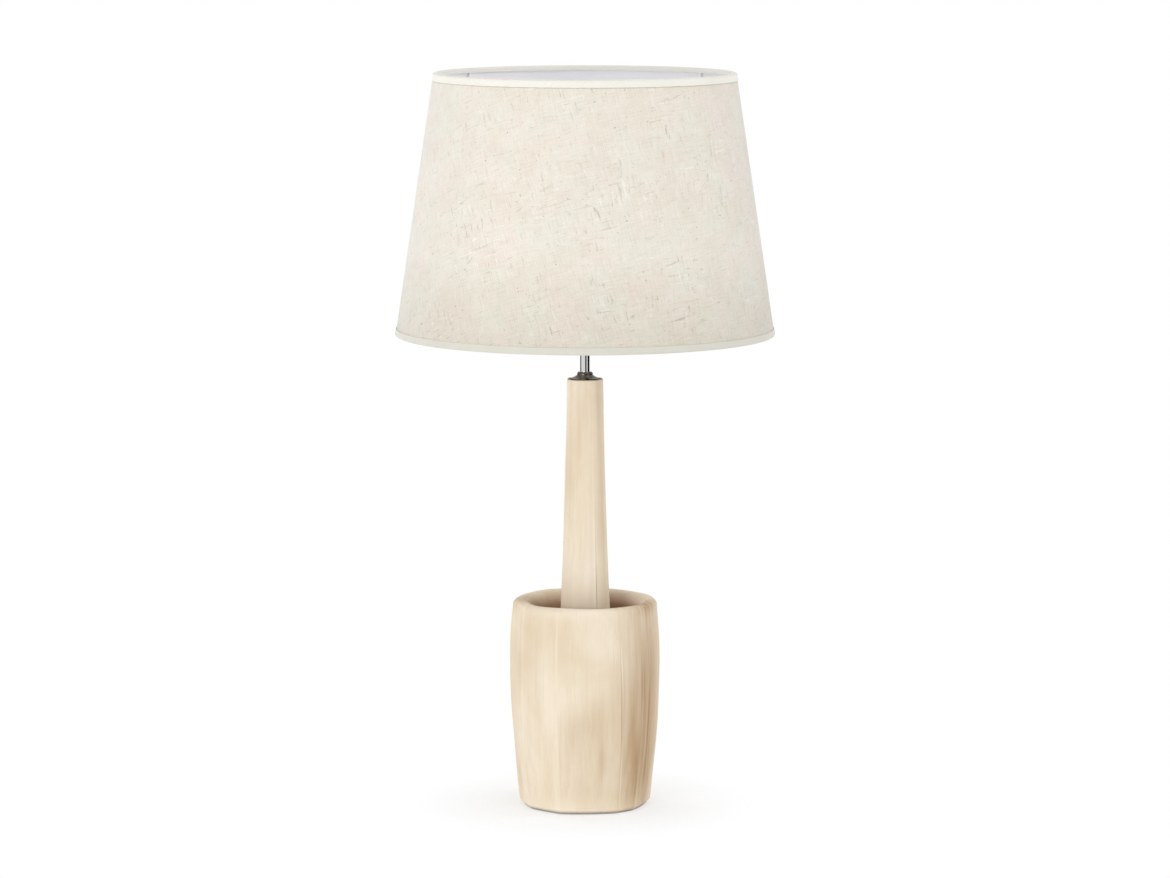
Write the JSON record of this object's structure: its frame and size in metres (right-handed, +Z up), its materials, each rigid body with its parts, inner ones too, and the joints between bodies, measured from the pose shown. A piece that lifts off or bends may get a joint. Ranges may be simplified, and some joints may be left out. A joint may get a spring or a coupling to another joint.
{
  "type": "table lamp",
  "caption": "Table lamp: tapered wooden column standing in a hollow shaved wooden pot, chrome tube, tapered linen drum shade, screw lampholder and bulb.",
  "frame": {"origin": "on the surface that the lamp stands on, below the axis of its tube", "axes": "+Z up along the tube, -Y is the front, +Y the back where the lead goes in"},
  "size_m": [0.3789, 0.379, 0.736],
  "materials": {
    "pale_wood": "bleached, oiled, hand shaved",
    "felt": "pressed wool felt",
    "chrome": "polished",
    "zinc_steel": "zinc plated",
    "black_plastic": "moulded, fine matt",
    "white_plastic": "moulded, satin",
    "white_ceramic_plastic": "heat resistant, matt",
    "brass": "bright",
    "nickel_shell": "nickel plated",
    "brown_insulation": "insulation",
    "blue_insulation": "insulation",
    "white_wire": "white powder coat",
    "linen": "woven linen, natural slubs",
    "lining": "satin laminate",
    "tape": "folded cotton tape",
    "black_glass": "moulded insulator glass",
    "aluminium": "stamped",
    "opal_plastic": "opal diffuser"
  },
  "bodies": {
    "base": {"pot": "pale_wood", "base_felt": "felt", "column": "pale_wood", "stem_tube": "chrome", "base_washer": "zinc_steel", "tooth_lock_washer": "zinc_steel", "base_nut": "zinc_steel", "column_nut": "zinc_steel", "column_cup": "chrome", "cord_gland": "black_plastic", "connector_block": "white_plastic", "block_inserts": "brass", "clamp_screws": "zinc_steel", "block_screw": "zinc_steel", "live_lead": "brown_insulation", "neutral_lead": "blue_insulation", "holder_cap": "black_plastic", "holder_set_screw": "zinc_steel", "holder_core": "white_ceramic_plastic", "holder_terminals": "brass", "terminal_screws": "zinc_steel", "holder_skirt": "black_plastic", "screw_shell": "nickel_shell", "centre_contact": "brass"},
    "shade": {"fitter_ring": "white_wire", "spider_arms": "white_wire", "top_ring": "white_wire", "bottom_ring": "white_wire", "linen_cover": "linen", "lining": "lining", "top_trim": "tape", "bottom_trim": "tape"},
    "clamp_ring": {"shade_ring": "black_plastic"},
    "bulb": {"bulb_contact": "brass", "bulb_insulator": "black_glass", "bulb_cap": "nickel_shell", "bulb_housing": "white_plastic", "bulb_board": "aluminium", "bulb_globe": "opal_plastic"},
    "switch": {"switch_bar": "white_plastic", "switch_bridge": "brass"}
  },
  "joints": [
    {"name": "shade_turn", "type": "hinge", "parent": "base", "child": "shade", "pos_m": [0, 0, 0.602], "axis": [0, 0, 1], "continuous": true},
    {"name": "shade_ring_unscrew", "type": "slide", "parent": "base", "child": "clamp_ring", "axis": [0, 0, 1], "range_m": [0, 0.016]},
    {"name": "bulb_unscrew", "type": "slide", "parent": "base", "child": "bulb", "axis": [0, 0, 1], "range_m": [0, 0.14]},
    {"name": "switch_push", "type": "slide", "parent": "base", "child": "switch", "axis": [-1, 0, 0], "range_m": [0, 0.004]}
  ]
}
